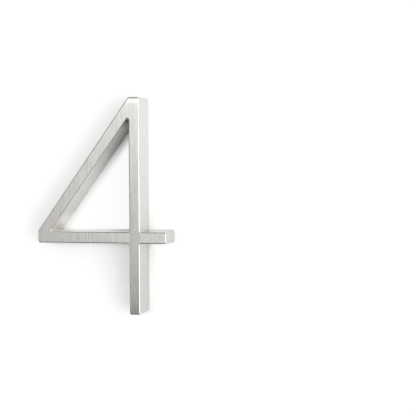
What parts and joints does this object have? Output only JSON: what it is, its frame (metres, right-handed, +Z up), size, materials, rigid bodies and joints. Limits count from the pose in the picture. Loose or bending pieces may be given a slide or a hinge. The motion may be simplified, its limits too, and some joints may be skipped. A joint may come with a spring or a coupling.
{
  "type": "house number",
  "caption": "Figure four house number in brushed metal, cast in one piece with deep drafted strokes, rounded face edges and tapped holes in the flat back.",
  "frame": {"origin": "on the flat back, where the middle line of the stem crosses the middle line of the crossbar", "axes": "+X to the right as the figure is read, +Z up along the stem, +Y into the wall, so the face looks along -Y"},
  "size_m": [0.079, 0.0191, 0.1269],
  "materials": {
    "brushed_metal": "brushed face with the grain upright, satin walls"
  },
  "bodies": {
    "root": {"numeral": "brushed_metal"}
  },
  "joints": []
}
